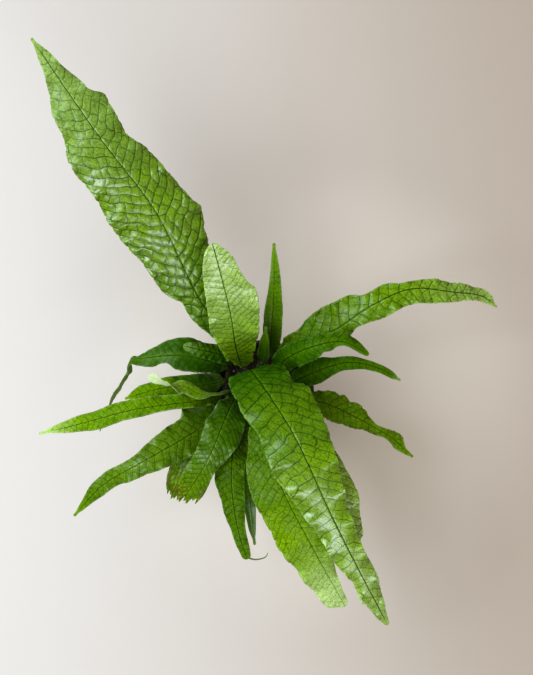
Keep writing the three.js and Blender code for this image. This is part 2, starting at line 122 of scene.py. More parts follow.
# Each frond has its foot in the soil, the points that its midrib runs through, and its edge: rows
# of the place along the midrib, in percent of its length, and the widths of the left and right
# half there, or one width for both. These are what it has unless it says otherwise. Where a value
# is a list, it runs evenly from foot to tip. The solid has the first line too.
PLAIN = dict(
    roll=0, arch=0.14, wave=2.6, torn=0,
    pitch=11,  # distance between side veins along the midrib
    cell=7.5,  # distance between cross veins
    lean=(0.6, 0.6),  # how far a side vein runs to the tip for each mm out, left and right
    rise=0.6,  # height of the fields between the veins
    wander=0.6,  # how irregular the net is
    crinkle=0.3,  # height of the edge's fine crinkles
    notch=0.045,  # depth of the edge's fine notches, as a share of the half width
    # light paints shade as well as the frond's own tone: darkest at the foot by the crown, and set per
    # frond to darken fronds that face the lamps and lighten ones that lie in shade.
    light=0.5,  # from a dark green, 0, to a light yellow green, 1
    gloss=0.4,  # from dull, 0, to shiny, 1
    veins=1,  # how dark the veins are
    pale=(1.1, 0),  # where paleness starts along the frond, and how strong it gets at the tip
    rim=0.15,  # how pale the margin is
    brown=0,  # withered brown and olive streaks
    scorch=(0, 0, 0),  # the side with a brown edge, and from where to where along the frond
)
# The light lists paint shade as well as tone: each starts dark at the crown, where the fronds shade
# each other.
FRONDS = [
    dict(foot=(-17, 37), wave=3, edge=[
        (13, 0), (27, 12, 13), (34, 16, 20), (38.5, 15, 26), (42, 27, 29), (48, 30), (51, 33, 31),
        (54.8, 37, 38), (58, 39, 32), (63, 39, 29), (66, 36, 28), (70, 34, 27), (74.5, 35, 20),
        (77.5, 33, 22), (81, 25, 23), (84, 23, 25), (86, 22, 16), (89.5, 14, 13), (93, 8), (96, 5, 6),
        (100, 0)],
        route=[(-22, 42, 140), (-54, 79, 195), (-91, 153, 245), (-134, 209, 275), (-187, 285, 300)],
        pitch=13, cell=7, lean=(0.7, 0.8), rise=[1.2, 1.2, 0.9, 0.5, 0.2], wander=0.8,
        light=[0, 0.1, 0.45, 0.6, 0.5, 0.4], gloss=[0, 0, 0.5, 1, 0.9, 0.3, 0.1], pale=(0.62, 0.45),
        veins=[1, 1, 1, 0.7]),
    dict(foot=(-21, 26), wave=1.6, arch=-0.08, edge=[
        (14, 0), (24, 5, 11), (32, 8, 13), (40, 12, 15), (47, 14, 18), (53, 16, 21), (62, 21, 24),
        (75, 19, 27), (79, 18, 26), (83, 17, 20), (87, 16, 17), (93, 13, 14), (96, 10, 11), (100, 3)],
        route=[(-21, 29, 135), (-24, 42, 180), (-28, 71, 222), (-41, 123, 262)],
        pitch=9, lean=(0.3, 0.9), rise=0.4, light=[0.3, 1, 0.9, 0.8], gloss=[0, 0.6, 1, 0.6],
        pale=(0.36, 0.7), veins=[1, 1, 0.8, 0.8]),
    dict(foot=(8, 37), wave=1, arch=-0.5, edge=[
        (18, 0), (30, 7, 8), (50, 8, 10), (67, 8, 9), (78, 5, 7), (88, 3, 5), (96, 2), (100, 0)],
        route=[(8, 39, 120), (9, 56, 160), (11, 85, 210), (11, 126, 245)],
        pitch=8, cell=5, rise=0.25, light=[0, 0.4, 0.35], gloss=[0.3, 0.8, 0.1], veins=0.7),
    dict(foot=(0, 30), wave=0.6, edge=[
        (20, 0), (40, 5), (62, 7, 6), (85, 5, 4), (100, 0)],
        route=[(1, 32, 135), (3, 43, 172), (4, 58, 195)],
        pitch=6, cell=4, rise=0.2, light=[0, 0, 0.1, 0.35], gloss=[0.8, 0.8, 0.2], veins=0.3),
    dict(foot=(16, 35), edge=[
        (15, 0), (25, 9, 10), (30, 9, 13), (34, 18, 14), (37, 21, 16), (40, 25, 17), (45.5, 24, 12),
        (48, 22, 9), (51, 21, 11), (53, 18, 13), (55, 12, 14), (58, 12, 16), (62, 13, 15),
        (66, 7, 14), (70, 8, 14), (75, 10, 13), (80, 10, 11), (86, 9, 7), (91, 8, 6), (96, 6, 4),
        (100, 0)],
        route=[(18, 38, 125), (32, 47, 153), (67, 56, 176), (99, 77, 188), (136, 93, 188),
               (181, 92, 172), (210, 90, 156), (226, 81, 145)],
        pitch=13, rise=[0.6, 0.6, 0.4], light=[0, 0.1, 0.3, 0.6, 0.9, 0.9],
        gloss=[0, 0, 0.15, 0.35, 0, 0.1], veins=0.9, pale=(0.6, 0.6), rim=0.25,
        brown=[0, 0.35, 0.2, 0, 0, 0]),
    # frond_06 faces the lamps; its light list stays low to paint shade on it.
    dict(foot=(16, 22), edge=[
        (15, 0), (25, 8), (35, 10), (46, 12, 11), (60, 11, 13), (69, 10, 13), (73, 9, 11), (76, 9, 7),
        (81, 9, 5), (86, 8, 3), (91, 8, 3), (95, 5, 3), (100, 2)],
        route=[(17, 24, 135), (25, 31, 174), (44, 39, 197), (72, 44, 200), (98, 33, 186)],
        rise=0.3, light=[0, 0, 0.1, 0.2], gloss=0.02, veins=0.8, rim=0.1),
    dict(foot=(28, 6), edge=[
        (20, 0), (32, 9, 10), (42, 11), (50, 12), (55, 11, 10), (60, 7, 8), (65, 6, 7), (69, 6, 7),
        (75, 5), (83, 4), (90, 4), (95, 3), (100, 0)],
        route=[(31, 9, 120), (45, 16, 148), (80, 27, 158), (112, 22, 146), (135, 11, 128)],
        pitch=10, rise=0.25, light=[0, 0.1, 0.3], gloss=0, veins=0.7, pale=(0.92, 0.6), rim=0.1),
    dict(foot=(35, -2), wave=3.4, edge=[
        (22, 0), (36, 10, 11), (42, 11, 13), (46, 14), (49, 13, 14), (52, 15, 14), (55, 11, 13),
        (59, 13, 12), (64, 11, 10), (66, 8), (69, 5, 7), (72, 3, 7), (75, 4, 6), (78, 5, 4),
        (80, 6, 4), (84, 8, 5), (87, 8, 6), (89.5, 4, 6), (92, 2, 5), (96, 1, 3), (100, 0)],
        route=[(38, -5, 118), (65, -13, 143), (98, -29, 144), (127, -46, 134), (148, -64, 118)],
        pitch=9, cell=6, rise=0.5, light=[0.2, 0.6, 0.55], gloss=0.05, veins=0.8, crinkle=1.6,
        notch=0.14, brown=[0, 0, 0.2, 0.3, 0.1]),
    dict(foot=(-12, 19), wave=3, roll=[-25, -25, -20, 0, 0, 0], edge=[
        (10, 0), (20, 12), (28, 26, 22), (33, 30, 24), (40, 27, 26), (42.5, 35, 28), (48.5, 34, 26),
        (51, 30, 28), (55, 28, 30), (58.5, 25, 31), (61, 24, 27), (64.5, 21, 24), (68, 18, 22),
        (70.5, 16, 18), (77, 13, 17), (80.5, 12, 16), (86, 13, 10), (90, 11, 10), (93, 8, 9),
        (96, 5, 7), (100, 2)],
        route=[(-11, 19, 150), (-8, 16, 205), (3, 1, 236), (28, -39, 252), (58, -103, 240),
               (88, -162, 210), (114, -211, 180)],
        pitch=13, cell=8, lean=(0.8, 0.3), rise=[0.35, 0.45, 0.3, 0.1, 0.1],
        light=[0, 0, 0.05, 0.4, 0.75, 0.8, 0.6], gloss=[0, 0, 0, 0.3, 1, 1, 0.6], pale=(0.68, 0.4),
        veins=[1, 1, 0.9, 0.75]),
    # frond_10 lies under frond_09; its light list runs high to paint light into that shade.
    dict(foot=(2, 6), edge=[
        (15, 0), (30, 15, 14), (45, 20, 18), (60, 21, 19), (69, 21, 19), (75, 15, 16), (79, 12, 14),
        (82, 7, 12), (88, 6, 9), (94, 5, 6), (100, 2)],
        route=[(3, 4, 145), (9, -7, 188), (33, -41, 216), (65, -96, 217), (84, -147, 198),
               (93, -194, 175)],
        rise=0.5, light=[0, 0.5, 1, 1], gloss=[0.3, 0.6, 0.6], pale=(0.45, 0.8)),
    dict(foot=(-10, -8), edge=[
        (23, 0), (30, 7), (37, 15, 12), (51, 22, 26), (56, 22, 28), (63, 22, 27), (68, 21, 26),
        (73, 19, 28), (79, 15, 25), (82, 13, 22), (85, 11, 23), (89, 8, 20), (93, 6, 18),
        (95.5, 5, 17), (98, 5, 14), (100, 3, 6)],
        route=[(-9, -12, 138), (2, -38, 187), (18, -86, 209), (44, -137, 196), (77, -198, 164)],
        pitch=9, cell=6, rise=0.3, light=[0, 0.1, 0.3, 0.8, 0.8], gloss=[0, 0.1, 0.1],
        pale=(0.74, 1.3), veins=[1, 1, 0.8, 0.4], brown=[0, 0.05, 0.2, 0.15, 0]),
    dict(foot=(-20, -17), edge=[
        (20, 0), (35, 11), (50, 14, 15), (61, 12, 16), (67, 12, 13), (72, 11), (82, 8), (87, 7, 6),
        (95, 6, 5), (100, 4)],
        route=[(-21, -23, 128), (-25, -42, 155), (-28, -82, 168), (-22, -132, 150), (-14, -160, 135)],
        pitch=9, cell=6, rise=0.3, light=[0, 0.2, 0.3], gloss=0.05, veins=0.9,
        brown=[0, 0.5, 0.2, 0.1]),
    dict(foot=(-7, -30), wave=0.8, edge=[
        (30, 0), (50, 5, 6), (78, 5, 6), (90, 3, 4), (100, 0)],
        route=[(-8, -36, 115), (-13, -70, 138), (-11, -109, 136), (-7, -149, 118)],
        pitch=7, cell=4, rise=0.2, light=0.1, veins=0.3),
    dict(foot=(-25, -4), torn=0.03, edge=[
        (15, 0), (25, 8, 5), (35, 11, 10), (45, 16, 13), (51, 19, 14), (58, 21, 16), (66, 20, 15),
        (71, 16, 14), (79, 11, 14), (87, 13, 14), (93, 14, 13), (100, 13, 12)],
        route=[(-27, -9, 138), (-34, -26, 170), (-48, -61, 184), (-74, -102, 164)],
        pitch=8, cell=5.5, lean=(0.8, 0.8), rise=0.35, wander=0.8, light=[0, 0.05, 0.2, 0.4],
        gloss=[0.8, 1, 0.4, 0.05], veins=0.9, brown=[0, 0, 0, 0, 0.1, 0.8]),
    dict(foot=(-31, -25), torn=0.03, edge=[
        (25, 0), (50, 13, 14), (70, 14, 18), (81, 13, 18), (87, 13, 16), (94, 12, 11), (100, 11, 9)],
        route=[(-35, -31, 115), (-53, -50, 135), (-73, -80, 139), (-86, -104, 132)],
        pitch=10, rise=0.4, light=[0, 0.25], gloss=0.1, veins=0.5, brown=[0.3, 0.5, 0.8]),
    dict(foot=(-36, -14), edge=[
        (15, 0), (25, 13, 18), (33, 17, 25), (37.5, 18, 27), (40, 18), (46, 18), (49, 17),
        (53.5, 16, 15), (57.5, 15, 13), (63, 12, 9), (69, 11, 8), (76, 8, 9), (84, 8), (90, 5),
        (95, 3), (100, 0)],
        route=[(-41, -20, 120), (-63, -38, 149), (-111, -66, 170), (-149, -88, 156), (-180, -119, 135)],
        pitch=10, cell=6, rise=[0.4, 0.35, 0.3], wander=0.8, light=[0, 0.4, 0.3],
        gloss=[0.9, 0.9, 0.3, 0.1], veins=0.8, brown=[0, 0.15], scorch=(1, 0.15, 0.32)),
    dict(foot=(-42, -3), edge=[
        (12, 0), (20, 6, 4), (30, 7, 6), (38, 6, 8), (47, 5, 9), (52, 6, 10), (59, 8, 10),
        (67, 8, 10), (71, 9), (75, 10, 8), (79, 9, 8), (83, 7, 8), (89, 5, 6), (95, 2, 3), (100, 0)],
        route=[(-46, -5, 125), (-67, -10, 159), (-117, -17, 174), (-175, -32, 164), (-211, -40, 150)],
        pitch=9, cell=5, rise=0.25, light=[0.1, 0.45, 0.6, 0.8], gloss=0.03, veins=0.75,
        pale=(0.8, 0.7), rim=0.3),
    dict(foot=(-38, 12), edge=[
        (20, 0), (30, 5, 9), (38, 10, 12), (50, 13, 12), (62, 12, 11), (72, 10), (81, 9, 8),
        (88, 7, 8), (95, 3, 4), (100, 0)],
        route=[(-41, 10, 107), (-59, 6, 125), (-97, 3, 138), (-133, -7, 131)],
        pitch=9, cell=5, rise=0.3, light=[0, 0, 0.1, 0.5, 0.6], gloss=[0.6, 0.5, 0, 0], veins=0.7),
    # frond_19's middle lies in shade; its light list runs high there to paint light on it.
    dict(foot=(-30, 1), wave=1, roll=[0, 0, 0, 0, 0, 0, 0, 10, 30, 115, 180], edge=[
        (58, 0), (70, 5), (79, 7), (84, 10, 6), (88, 8, 5), (91, 4), (95, 5), (98, 4), (100, 2)],
        route=[(-33, 0, 135), (-43, -3, 166), (-57, -3, 184), (-70, 4, 192), (-85, 6, 196),
               (-103, 14, 192)],
        pitch=7, cell=4, rise=0.15, light=[0, 0, 0.3, 0.7, 0.9], gloss=0.2, veins=0.6,
        pale=(0.72, 0.5), rim=0.5),
    dict(foot=(-36, 24), wave=1.4, roll=[0, 0, 0, 0, 0, 60, 90, 90, 90], edge=[
        (15, 0), (22, 9, 8), (28, 11, 12), (34, 14, 16), (38, 15, 18), (41, 15, 17), (44, 13, 16),
        (46, 7, 15), (48.5, 7, 12), (52, 9, 8), (55, 8, 7), (62, 8), (75, 6), (88, 4), (100, 0)],
        route=[(-38, 25, 118), (-50, 29, 143), (-75, 34, 156), (-106, 32, 152), (-127, 29, 138),
               (-133, 17, 120), (-150, -6, 98), (-167, -40, 74)],
        pitch=9, cell=5.5, rise=0.3, wander=0.8, light=[0, 0, 0.15, 0.2], gloss=[0, 0.12, 0.02],
        veins=0.6, scorch=(-1, 0.15, 0.45)),
    dict(foot=(-27, 34), wave=1.2, edge=[
        (20, 0), (35, 6), (50, 8), (70, 9), (90, 7), (100, 3)],
        route=[(-28, 34, 125), (-40, 35, 160), (-56, 38, 174), (-73, 42, 173)],
        pitch=9, cell=6, rise=0.7, light=0, gloss=0.1, pale=(0.9, 0.25), brown=[0, 0, 0.15], rim=0.05,
        crinkle=1.6, scorch=(1, 0.3, 0.95)),
]


# ---- shapes

def smooth(x):
    """0 below 0, 1 above 1, and smooth between."""
    c = np.clip(x, 0, 1)
    return c * c * (3 - 2 * c)


def fraction(x):
    return x - np.floor(x)


def along(values, s):
    """The value at s of a list spread evenly over 0 to 1, eased from each to the next, or of one
    number."""
    values = np.array(values, float, ndmin=1)
    if len(values) == 1:
        return np.full_like(s, values[0])
    at = np.clip(s, 0, 0.9999) * (len(values) - 1)
    i = np.floor(at).astype(int)
    return values[i] + (values[i + 1] - values[i]) * smooth(at - i)


def unit(v):
    return v / np.linalg.norm(v, axis=-1, keepdims=True)


def to_side(v):
    """The level direction at right angles to v, to its right, as long as v looks from above."""
    return np.stack([v[..., 1], -v[..., 0], 0 * v[..., 0]], -1)


def circle(r, angle, z):
    """Points at given angles round the vertical axis."""
    return np.stack([r * cos(angle), r * sin(angle), z + 0 * angle], -1)


def round_ends(s):
    """1 along the middle of a tube, closing in a blunt round at both ends."""
    return sqrt(np.maximum(1e-3, 1 - np.abs(2 * s - 1) ** 14))


def spline(points):
    """Points on a Catmull-Rom curve through the given ones. Each stretch is a cubic whose ends
    have the slopes of the curve's neighbours, timed by the square root of the distance."""
    p = np.array(points, float)
    p = np.concatenate([[2 * p[0] - p[1]], p, [2 * p[-1] - p[-2]]])
    out = []
    w = (np.arange(CURVE_POINTS) / CURVE_POINTS)[:, None]
    for a, b, c, d in zip(p, p[1:], p[2:], p[3:]):
        ab, bc, cd = [max(((q - r) ** 2).sum() ** 0.25, 1e-4)
                      for q, r in ((a, b), (b, c), (c, d))]
        start = ((b - a) / ab - (c - a) / (ab + bc) + (c - b) / bc) * bc
        end = ((c - b) / bc - (d - b) / (bc + cd) + (d - c) / cd) * bc
        out.append(b + start * w + (3 * (c - b) - 2 * start - end) * w**2
                   + (start + end - 2 * (c - b)) * w**3)
    return np.concatenate(out + [p[-2:-1]])


class Curve:
    """A smooth line through points, read by share of its length."""

    def __init__(self, points):
        self.points = spline(points)
        steps = np.linalg.norm(np.diff(self.points, axis=0), axis=1)
        length = np.concatenate([[0], np.cumsum(steps)])
        self.length = length[-1]
        self.share = length / self.length

    def at(self, s):
        return np.stack([np.interp(s, self.share, self.points[:, k]) for k in range(3)], -1)

    def ahead(self, s):
        return unit(self.at(s + AHEAD_STEP) - self.at(s - AHEAD_STEP))


class Frond:
    """A frond's values, with the shape of its sheet. s runs from 0 at the foot to 1 at the tip,
    t from -1 to 1 across the blade."""

    def __init__(self, number, values):
        self.__dict__.update(PLAIN, **values)
        self.seed = 1 + 2.4 * number
        x, y = self.foot
        upright = [(x, y, SOIL_TOP + z) for z in (-FOOT_DEPTH, -FOOT_DEPTH / 2, FOOT_CLEAR)]
        points = upright + self.route
        self.midrib = Curve(points)
        self.length = self.midrib.length
        self.start = self.edge[0][0] / 100
        self.widest = max(max(row[1:]) for row in self.edge)
        middle = points[-(-len(points) // 2)]
        self.heading = unit(np.array([middle[0] - x, middle[1] - y, 0]))

    def blade_share(self, s):
        return smooth((s - self.start) * self.length / BLADE_SPREAD)

    def half_width(self, s, side):
        """Straight between the rows of the edge, averaged over a short length to round its
        corners, and no narrower than the stalk or the tip."""
        places, *widths = np.array([(row[0], row[1], row[-1]) for row in self.edge], float).T
        shifts = np.linspace(-0.5, 0.5, 9) * ROUNDING / self.length
        left, right = [np.mean([np.interp(s + shift, places / 100, w) for shift in shifts], axis=0)
                       for w in widths]
        least = np.where(s < 0.5, STALK_RADIUS, TIP_HALF_WIDTH)
        return np.maximum(least, np.where(side < 0, left, right))

    def directions(self, s):
        """The midrib's point, and the directions to the blade's side and above its face."""
        s = np.clip(s, 0, 1)
        ahead = self.midrib.ahead(s)
        aside = to_side(ahead + HEADING_PULL * self.heading)
        aside = unit(aside - (aside * ahead).sum(-1, keepdims=True) * ahead)
        roll = np.radians(along(self.roll, s))[..., None]
        aside = aside * cos(roll) + np.cross(ahead, aside) * sin(roll)
        return self.midrib.at(s), aside, np.cross(aside, ahead)

    def notches(self, reach, side):
        """The fine toothing of the edge: narrow notches that two slow waves spread unevenly."""
        wave = sin(reach * 2 * pi / 15 + 1.7 * sin(reach / 13 + side) + self.seed)
        fine = sin(reach * 2 * pi / 5.3 + 2 * sin(reach / 7) + 3 * side)
        return self.notch * (0.6 * np.maximum(0, wave) ** 3 + 0.12 * fine)

    def net(self, reach, out, side):
        """Where a point lies in the net of veins: whole numbers of the first value are side
        veins, and the second counts outwards from the midrib in cross veins."""
        seed = self.seed
        lean = np.where(side < 0, *self.lean)
        curve = lean * out * (0.8 + 0.5 * out / self.widest)
        drift = self.wander * (
            1.6 * sin(reach / 8.7 + 0.11 * side * out + seed)
            + 1.1 * sin(out / 4.3 + reach / 21 + 2 * seed + side)
            + 0.7 * sin(reach / 3.9 + out / 5.1 + 3 * seed + 2 * side)
            + 0.3 * sin(out / 1.9 + reach / 6.3 + seed))
        place = (reach - curve + drift * smooth(out / 6)) / self.length
        u = -np.log(1 - TAPER * np.clip(place, -1, 1.1)) * self.length / (TAPER * self.pitch)
        wobble = self.wander * (
            0.16 * sin(reach / 6.1 + out / 9 + seed + side)
            + 0.12 * sin(reach / 2.3 - out / 6 + 2 * seed))
        v = out / self.cell + wobble * smooth(out / self.cell)
        return u, v

    def relief(self, u, v, side):
        """Height of the pillows between the veins, from 0 on a vein to 1."""
        row = np.floor(u)
        shift = fraction(row * GOLDEN + MIRROR_SHIFT * (side < 0))
        stretch = 0.82 + 0.36 * fraction(row * PLASTIC_NUMBER)
        f = fraction(u)
        g = fraction(v * stretch + shift + SKEW * f)
        between = (4 * f * (1 - f)) ** 0.6
        across = (4 * g * (1 - g)) ** 0.6
        return between * (0.45 + 0.55 * across)

    def surface(self, s, t):
        """The frond's middle sheet at row s and place t, its upward direction, and what the
        finish needs. Rows slant to the tip as the side veins do. The sheet bends down by a
        share of the width times t squared, and its edge waves as the 2.5th power of t."""
        side = np.where(t < 0, -1.0, 1.0)
        near = smooth((1 - s) * self.length
                      / (TIP_ROUND + 3 * self.half_width(np.array(1.0), side)))
        slant = (ROW_SLANT * np.abs(t) * near - (1 - sqrt(1 - t * t)) * (1 - near)) \
            * self.half_width(s, side) / self.length
        rags = 0.5 + 0.5 * sin(TEARS * t + self.seed) + 0.4 * sin(2.6 * TEARS * t)
        tear = self.torn * smooth((s - 0.6) / 0.4) * rags
        at = np.minimum(1, s + slant) - tear
        half = self.half_width(at, side)
        leaf = smooth((half - STALK_RADIUS) / LEAF_ONSET)
        reach = at * self.length
        edge = half * (1 - self.notches(reach, side) * leaf * np.abs(t) ** 3)
        phase = reach * 2 * pi / WAVE_LENGTH + self.seed + 1.7 * side
        ripple = self.wave * np.abs(t) ** 2.5 * (sin(phase) + 0.35 * sin(2.3 * phase))
        crimp = self.crinkle * np.abs(t) ** 5 * sin(reach * 2 * pi / 7.3 + 2 * side
                                                     + 1.5 * sin(reach / 9))
        out = np.abs(t) * edge
        u, v = self.net(reach, out, side)
        fade = smooth((half - out) / 2.5 + 0.1)
        pillow = along(self.rise, at) * self.relief(u, v, side) * fade
        lift = (ripple + crimp + pillow - self.arch * half * t * t) * leaf
        centre, aside, above = self.directions(at)
        point = centre + aside * (t * edge)[..., None] + above * lift[..., None]
        return dict(point=point, above=above, u=u, v=v * side, at=at, half=half, out=out,
                    leaf=leaf, side=side)

    def rows(self):
        """Rows about a step apart on the blade, and wider apart on the bare stalk."""
        count = int((1 - self.start) * self.length / GRID_STEP)
        bare = int(self.start * self.length / STALK_STEP)
        stalk = np.linspace(0, self.start, bare, endpoint=False)
        return np.concatenate([stalk, np.linspace(self.start, 1, count)])

    def columns(self):
        """The same across the widest half, with two more in the midrib's groove."""
        right = np.linspace(GROOVE_SHARE, 1, max(6, int(self.widest / GRID_STEP)))
        right = np.concatenate([[GROOVE_SHARE / 2], right])
        return np.concatenate([-right[::-1], [0], right])


def grid_faces(rows, columns):
    """Quads of a grid of points counted row by row."""
    j, i = np.meshgrid(np.arange(rows - 1), np.arange(columns - 1), indexing="ij")
    a = (j * columns + i).ravel()
    return np.stack([a, a + 1, a + columns + 1, a + columns], -1)


def edge_loop(rows, columns):
    """The points round the edge of such a grid, anticlockwise."""
    last = (rows - 1) * columns
    return np.concatenate([
        np.arange(columns - 1),
        np.arange(rows - 1) * columns + columns - 1,
        last + np.arange(columns - 1, 0, -1),
        np.arange(rows - 1, 0, -1) * columns])


def frond_mesh(frond):
    """Both faces of the sheet, half a thickness above and below its middle, joined round the
    edge. The stalk's half thickness swells to a circle, a groove runs along the top of the
    midrib and a rib below it."""
    s, t = np.meshgrid(frond.rows(), frond.columns(), indexing="ij")
    sheet = frond.surface(s, t)
    swell = (1 - frond.blade_share(s)) * (STALK_RADIUS - BLADE_HALF)
    thick = BLADE_HALF * (1 - 0.5 * np.abs(t) ** 6) + swell * sqrt(np.maximum(0, 1 - t * t))
    centre_line = np.exp(-((t / (1.2 * GROOVE_SHARE)) ** 2)) * sheet["leaf"]
    thinning = 1 - 0.75 * sheet["at"]
    top = thick - GROOVE_DEPTH * centre_line * thinning
    below = thick + RIB_HEIGHT * centre_line * thinning
    upper = sheet["point"] + sheet["above"] * top[..., None]
    lower = sheet["point"] - sheet["above"] * below[..., None]
    rows, columns = s.shape
    count = rows * columns
    loop = edge_loop(rows, columns)
    nxt = np.roll(loop, -1)
    walls = np.stack([loop, loop + count, nxt + count, nxt], -1)
    quads = grid_faces(rows, columns)
    faces = np.concatenate([quads, quads[:, ::-1] + count, walls])
    points = np.concatenate([upper.reshape(-1, 3), lower.reshape(-1, 3)])
    net = np.stack([sheet["u"], sheet["v"]], -1).reshape(-1, 2)
    tint, tone = frond_tints(frond, sheet)
    return points, faces, np.tile(net, (2, 1)), tint, tone


def frond_tints(frond, sheet):
    """Two colours at each point: how pale, brown and on the underside it is, and how light,
    shiny and strongly netted. How light it is carries painted shade as well as the frond's own tone."""
    at, half, out = sheet["at"], sheet["half"], sheet["out"]
    start, strength = frond.pale
    pale = strength * smooth((at - start) / max(1.02 - start, 0.1))
    blade = frond.blade_share(at)
    margin = frond.rim * smooth(1 - (half - out) / 2.2) * blade
    stalk = np.maximum(1 - 2 * blade, 0)
    pale = np.clip(np.maximum(pale, 0.35 * stalk) + margin, 0, 1).ravel()
    foot = smooth(1 - (at * frond.length - FOOT_DEPTH) / 14)
    edge, low, high = frond.scorch
    burnt = (sheet["side"] == edge) * smooth((at - low) / 0.03) * smooth((high - at) / 0.03)
    burnt = burnt * smooth(1.3 - (half - out) / 1.3)
    brown = np.clip(along(frond.brown, at) + foot + burnt, 0, 1).ravel()
    one = np.ones_like(pale)
    tint = np.concatenate([np.stack([pale, brown, face * one, one], -1) for face in (0, 1)])
    # light is partly the frond's own tone and partly painted shade.
    light, gloss, veins, rise = [
        along(values, at).ravel() for values in (frond.light, frond.gloss, frond.veins, frond.rise)]
    veins = veins * smooth((half - STALK_RADIUS) / 4).ravel()
    tone = np.tile(np.stack([light, gloss, veins, rise / HIGHEST_NET], -1), (2, 1))
    return tint, tone


def tube(curve, radius, sides, steps, squash=1.0):
    """A round surface along a curve. radius is a function of the share of the length and the
    angle, and a small face closes each end."""
    s = np.linspace(0, 1, steps)
    ahead = curve.ahead(s)
    aside = unit(to_side(ahead))
    above = np.cross(aside, ahead)
    angle = np.arange(sides) / sides * 2 * pi
    ss, aa = np.meshgrid(s, angle, indexing="ij")
    r = radius(ss, aa)[..., None]
    ring = (curve.at(s)[:, None] + above[:, None] * sin(aa)[..., None] * r * squash
            - aside[:, None] * cos(aa)[..., None] * r)
    return ring.reshape(-1, 3), ring_faces(steps, sides)


def ring_faces(rings, sides):
    """Quads that join rings of points in order, and one face over each end ring."""
    j, i = np.meshgrid(np.arange(rings - 1), np.arange(sides), indexing="ij")
    a = (j * sides + i).ravel()
    b = (j * sides + (i + 1) % sides).ravel()
    quads = np.stack([a, b, b + sides, a + sides], -1).tolist()
    last = (rings - 1) * sides
    return quads + [list(range(sides))[::-1], list(range(last, last + sides))]


def lathe(profile, sides):
    """A profile of (radius, height) turned about the vertical axis, with its ends close enough
    to the axis for one small face to close each."""
    angle = np.arange(sides) / sides * 2 * pi
    r, z = np.array(profile, float).T[..., None]
    return circle(r, angle, z).reshape(-1, 3), ring_faces(len(profile), sides)


# ---- meshes in the scene

def add(name, data):
    """A new object of the scene that shows a mesh, light or camera."""
    thing = bpy.data.objects.new(name, data)
    bpy.context.scene.collection.objects.link(thing)
    return thing


def mesh_of(name, points, faces):
    mesh = bpy.data.meshes.new(name)
    faces = faces.tolist() if isinstance(faces, np.ndarray) else faces
    mesh.from_pydata((points * MM).tolist(), [], faces)
    return mesh


def piece(name, points, faces, slot, finish, net=None, colours=None, shade_smooth=True):
    """A mesh object in metres at the origin, with an optional map and point colours."""
    mesh = mesh_of(name, points, faces)
    if net is not None:
        corners = np.empty(len(mesh.loops), dtype=np.int32)
        mesh.loops.foreach_get("vertex_index", corners)
        layer = mesh.uv_layers.new(name="Net")
        layer.data.foreach_set("uv", net[corners].astype(np.float32).ravel())
    for label, values in (colours or {}).items():
        attribute = mesh.color_attributes.new(name=label, type="FLOAT_COLOR", domain="POINT")
        attribute.data.foreach_set("color", values.astype(np.float32).ravel())
    mesh.polygons.foreach_set("use_smooth", np.full(len(mesh.polygons), shade_smooth))
    mesh.materials.append(finish)
    mesh.validate()
    mesh.update()
    thing = add(name, mesh)
    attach(thing, "root")
    return thing


# ---- finishes

def sums(operation):
    """A method that works an operation out on a value and what follows it."""
    return lambda self, *others: self.finish.node("Math", dict(operation=operation), self, *others)


class Value:
    """A node's output, on which sums are written as on a number."""

    def __init__(self, finish, socket):
        self.finish = finish
        self.socket = socket

    __add__ = __radd__ = sums("ADD")
    __sub__ = sums("SUBTRACT")
    __mul__ = __rmul__ = sums("MULTIPLY")
    floor, fraction, size = sums("FLOOR"), sums("FRACT"), sums("ABSOLUTE")
    below, smaller, larger = sums("LESS_THAN"), sums("MINIMUM"), sums("MAXIMUM")

    def __rsub__(self, other):
        return self.finish.node("Math", dict(operation="SUBTRACT"), other, self)

    def ramp(self, low, high):
        """0 at low and 1 at high, smooth between."""
        return self.finish.node("MapRange", dict(interpolation_type="SMOOTHSTEP"),
                                self, low, high)


class Finish:
    """A material of one Principled shader."""

    def __init__(self, name):
        self.material = bpy.data.materials.new(name)
        self.material.use_nodes = True
        self.nodes = self.material.node_tree.nodes
        self.links = self.material.node_tree.links
        self.shader = self.nodes["Principled BSDF"]

    def put(self, socket, value):
        if isinstance(value, Value):
            self.links.new(value.socket, socket)
        elif value is not None:
            socket.default_value = value

    def node(self, kind, settings=None, *values, out=0, **named):
        """Adds a node of a kind, sets its settings, then fills its sockets in order or by
        name, and returns one of its outputs."""
        made = self.nodes.new("ShaderNode" + kind)
        for key, setting in (settings or {}).items():
            setattr(made, key, setting)
        for socket, value in zip(made.inputs, values):
            self.put(socket, value)
        for label, value in named.items():
            self.put(made.inputs[label], value)
        return Value(self, made.outputs[out])

    def parts(self, kind, whole):
        """The three parts of a colour or a place."""
        split = self.node(kind, None, whole)
        return [Value(self, socket) for socket in split.socket.node.outputs[:3]]

    def mix(self, factor, one, other):
        """A colour between two. Each is a value or three numbers."""
        made = self.node("Mix", dict(data_type="RGBA"), factor, out=2)
        for index, value in ((6, one), (7, other)):
            value = (*value, 1) if isinstance(value, tuple) else value
            self.put(made.socket.node.inputs[index], value)
        return made

    def place(self, stretch=None):
        """Object coordinates in metres, stretched if need be."""
        where = self.node("TexCoord", out=3)
        if stretch is None:
            return where
        return self.node("Mapping", None, where, Scale=stretch)

    def noise(self, scale, detail=2.0, roughness=0.5, where=None, out=0):
        return self.node("TexNoise", None, out=out, Vector=where or self.place(), Scale=scale,
                         Detail=detail, Roughness=roughness)

    def bump(self, height, distance, strength=1.0, normal=None):
        return self.node("Bump", None, Height=height, Distance=distance, Strength=strength,
                         Normal=normal)

    def surface(self, **values):
        for label, value in values.items():
            self.put(self.shader.inputs[label.replace("_", " ")], value)
        return self.material


